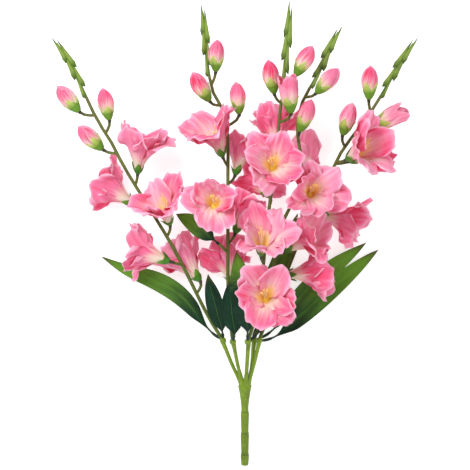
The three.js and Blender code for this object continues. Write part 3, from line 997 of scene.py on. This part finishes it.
class MakeTips(bpy.types.Operator):
    """Make the tips out of closed bracts, whose heels stand out left and right in turn"""

    bl_idname = "bush.tips"
    bl_label = "Tips"

    # Where each bract starts and ends along the tip, and its width as a share of the tip's
    heels = (0.0, 0.16, 0.31, 0.46, 0.58)
    points = (0.4, 0.6, 0.76, 0.93, 1.0)
    widths = (0.46, 0.58, 0.66, 0.66, 0.6)

    def execute(self, context):
        colours = context.scene.bush_colours
        material = moulded_green(
            "tip_plastic", colours.bract, colours.bract_pale, colours.leaf_dark
        )
        for spray in SPRAYS:
            self.make_tip(spray, material)
        return {"FINISHED"}

    def make_tip(self, spray, material):
        node = "tip_" + spray
        solid = Solid(node)
        base = touching_point(solid, Solid("spray_stem_" + spray))
        sections, far = spine(solid, base, 24)
        path = smoothed([base] + [section.mean(0) for section in sections] + [far], 101)
        widest = max(reach_of(section) for section in sections)
        source = chance(node)
        shape = Shape()
        shape.tube(path[:90], np.linspace(2.0, 0.5, 90) * MM, 8, along=0.0)
        side = unit(np.cross(far - base, (0, 0, 1)))
        hand = source.choice((-1, 1))
        for number, share in enumerate(self.heels):
            out = side * hand * (1 if number % 2 else -1)
            out = unit(out + np.array((0, 0, source.uniform(-0.4, 0.5))))
            ends = share, self.points[number]
            self.add_bract(shape, path, ends, out, widest * self.widths[number])
        shape.piece("tip_bracts_" + spray, material, "tip_plastic", [node])

    def add_bract(self, shape, path, ends, out, width):
        """A bract with a plump heel beside the tip's middle line and a long fine point."""
        v = np.linspace(0, 1, 22)
        spots = (ends[0] + (ends[1] - ends[0]) * v) * (len(path) - 1)
        line = np.stack([np.interp(spots, range(len(path)), path[:, i]) for i in range(3)], -1)
        line = line + out * (width * (0.55 + 0.85 * np.exp(-v / 0.12)))[:, None]
        heel = np.clip(v / 0.16, 0.01, 1) ** 0.75
        radii = width * np.minimum(heel, 1.08 * (1 - v) ** 0.9) + 0.3 * MM
        pale = np.sin(np.pi * np.minimum(v * 1.1, 1)) * 1.1
        shade = 0.5 * (1 - smooth(v, 0.0, 0.12)) + 0.25 * smooth(v, 0.7, 1)
        shape.tube(line, radii, 14, squash=0.7, side=out, along=pale, socket=shade)


class MakeLeaves(bpy.types.Operator):
    """Make the leaves: a veined blade over a moulded rib"""

    bl_idname = "bush.leaves"
    bl_label = "Leaves"

    rows = 48
    columns = 17
    petiole_rows = 5
    ribbed_rows = 46

    def execute(self, context):
        colours, sizes = settings_of(context)
        fabric = leaf_fabric(colours)
        plastic = moulded_green("rib_plastic", colours.rib, colours.rib, colours.leaf_dark)
        ribs = Shape()
        for node in nodes_of("leaf"):
            self.make_leaf(node, ribs, fabric, sizes)
        ribs.piece("leaf_ribs", plastic, "leaf_fabric")
        return {"FINISHED"}

    def make_leaf(self, node, ribs, fabric, sizes):
        solid = Solid(node)
        holders = [Solid("grip"), Solid("spray_stem_" + spray_of(node))]
        gaps = [min(solid.tree.find_nearest(p)[3] for p in holder.points) for holder in holders]
        base = touching_point(solid, holders[int(np.argmin(gaps))])
        sections, far = spine(solid, base, 18)
        rails = self.same_sides(np.array([self.rail(section) for section in sections]))
        rails = np.concatenate([[[base] * 3], rails, [[far] * 3]])
        for _ in range(3):
            rails[1:-1] = rails[1:-1] / 2 + (rails[:-2] + rails[2:]) / 4
        lines = smoothed(rails, self.rows)
        source = chance(node)
        v, u = shares(self.rows, self.columns)
        left, middle, right = (lines[:, i][:, None] for i in range(3))
        bow = (left + right) / 2 - middle
        grid = middle + u[..., None] * (right - left) / 2 + (np.abs(u) ** 1.6)[..., None] * bow
        normal = normals(grid)
        centre = self.columns // 2
        if normal[:, centre, 2].mean() > 0:
            grid, normal = grid[:, ::-1], -normal[:, ::-1]
        lag = source.uniform(0, 6.3, 3)
        wave = 1.3 * np.abs(u) ** 2 * np.sin(11 * v + lag[0] + np.sign(u) * lag[1])
        wave = wave + 0.5 * np.sin(5 * v + 2 * u + lag[2]) - 0.5 * np.exp(-((u / 0.08) ** 2))
        grid = grid + normal * (wave * smooth(v, 0.12, 0.4) * (1 - smooth(v, 0.9, 1)) * MM)[..., None]
        taper = (0.1 + 0.9 * smooth(v, 0.09, 0.28))[..., None]
        spine_line = grid[:, centre : centre + 1]
        grid = spine_line + (grid - spine_line) * taper
        # Painted shade: leaves low in the middle of the bush, under the blooms, are painted darker,
        # and the tallest leaves less so; this share is painted on the blade as its tint.
        high = np.array(CAD_BOX[1])
        aside, along_bush, _ = np.abs(grid.mean((0, 1)) / high)
        near_grip = smooth(along_bush, 0.1, 0.25) * (grid[..., 1].mean() < 0)
        lift = smooth(grid[..., 2].max() / high[2], 0.5, 0.6) * smooth(v, 0.15, 0.9)
        shade = (1 - smooth(aside, 0.1, 0.3)) * near_grip * (1 - 0.8 * lift)
        blade, start = Shape(), self.petiole_rows
        blade.sheet(grid[start:], sizes.fabric * 1.3, along=v[start:], across=u, tint=shade[start:])
        blade.piece("blade_" + node, fabric, "leaf_fabric", [node])
        self.add_rib(ribs, lines[:, 1] + normal[:, centre] * (0.9 * MM), v[:, 0], sizes)

    def add_rib(self, ribs, line, spot, sizes):
        """A rib under the blade, with a sleeve on its petiole."""
        radii = sizes.rib * (1 - 0.8 * spot) * (1 - 0.55 * smooth(spot, 0.12, 0.3))
        sleeve = smooth(spot, 0.01, 0.03) * (1 - smooth(spot, 0.09, 0.11))
        radii = radii + 0.5 * sizes.rib * sleeve
        kept = slice(self.ribbed_rows)
        ribs.tube(line[kept], radii[kept], 8, along=spot[kept], socket=sleeve[kept])

    def rail(self, section):
        """The left edge, the middle and the right edge of a section of a blade."""
        reach = np.linalg.norm(section[:, None] - section[None], axis=2)
        first, second = np.unravel_index(np.argmax(reach), reach.shape)
        left, right = section[first], section[second]
        shares = (section - left) @ (right - left) / reach[first, second] ** 2
        near = section[np.abs(shares - 0.5) < 0.3]
        middle = near.mean(0) if len(near) else (left + right) / 2
        return left, middle, right

    def same_sides(self, rails):
        """Sections whose left edges all lie on the same side."""
        widest = np.argmax(np.linalg.norm(rails[:, 2] - rails[:, 0], axis=1))
        wide = rails[widest, 2] - rails[widest, 0]
        return np.array([rail if (rail[2] - rail[0]) @ wide > 0 else rail[::-1] for rail in rails])


class MakeBlooms(bpy.types.Operator):
    """Make the open blooms: petals, calyx and stamens"""

    bl_idname = "bush.blooms"
    bl_label = "Blooms"

    def execute(self, context):
        colours, sizes = settings_of(context)
        fabric = petal_fabric("petal_fabric", colours, whiteness=0.6, streaks=0.0, greenness=0.25)
        green = moulded_green("calyx_plastic", colours.cup, colours.calyx, colours.socket)
        pale = stamen_plastic(colours)
        for spray in SPRAYS:
            stem = Solid("spray_stem_" + spray)
            greens, stamens = Shape(), Shape()
            for node in nodes_of("bloom", spray):
                seat, source = Seat(node, stem), chance(node)
                petals = Shape()
                add_petals(petals, seat, sizes, source)
                petals.piece("petals_" + node, fabric, "petal_fabric", [node])
                add_calyx(greens, seat, BLOOM_CALYX, 3, sizes, source, 0.8 * MM)
                add_stamens(stamens, seat, sizes, source)
            greens.piece("bloom_calyxes_" + spray, green, "tip_plastic")
            stamens.piece("stamens_" + spray, pale, "petal_fabric")
        return {"FINISHED"}


class MakeBuds(bpy.types.Operator):
    """Make the buds: rolled petals in a green calyx"""

    bl_idname = "bush.buds"
    bl_label = "Buds"

    opened = ("bud_centre_3", "bud_right_2")

    def execute(self, context):
        colours, sizes = settings_of(context)
        fabric = petal_fabric("bud_fabric", colours, whiteness=0.7, streaks=0.3, greenness=0.6)
        green = moulded_green("bud_calyx", colours.calyx, colours.calyx_pale, colours.socket)
        for spray in SPRAYS:
            stem = Solid("spray_stem_" + spray)
            petals, greens = Shape(), Shape()
            nodes = nodes_of("bud", spray)
            for node in nodes:
                seat = Seat(node, stem)
                add_bud(petals, greens, seat, node in self.opened, sizes, chance(node))
            petals.piece("bud_petals_" + spray, fabric, "bud_fabric", nodes)
            greens.piece("bud_calyxes_" + spray, green, "tip_plastic")
        return {"FINISHED"}


OPERATORS = (MakeStage, MakeGrip, MakeStems, MakeTips, MakeLeaves, MakeBlooms, MakeBuds)


class BushPanel(bpy.types.Panel):
    """The steps that make the bush"""

    bl_idname = "VIEW3D_PT_bush"
    bl_label = "Gladiolus bush"
    bl_space_type = "VIEW_3D"
    bl_region_type = "UI"
    bl_category = "Bush"

    def draw(self, context):
        for operator in OPERATORS:
            self.layout.operator(operator.bl_idname)
        for group in (context.scene.bush_sizes, context.scene.bush_colours):
            box = self.layout.box()
            for name in group.bl_rna.properties.keys():
                if name not in ("rna_type", "name"):
                    box.prop(group, name)


CLASSES = (BushSizes, BushColours, *OPERATORS, BushPanel)


def register():
    for cls in CLASSES:
        bpy.utils.register_class(cls)
    bpy.types.Scene.bush_sizes = PointerProperty(type=BushSizes)
    bpy.types.Scene.bush_colours = PointerProperty(type=BushColours)


def unregister():
    del bpy.types.Scene.bush_colours
    del bpy.types.Scene.bush_sizes
    for cls in reversed(CLASSES):
        bpy.utils.unregister_class(cls)


def main():
    register()
    for operator in OPERATORS:
        group, name = operator.bl_idname.split(".")
        getattr(getattr(bpy.ops, group), name)()


if __name__ == "__main__":
    main()
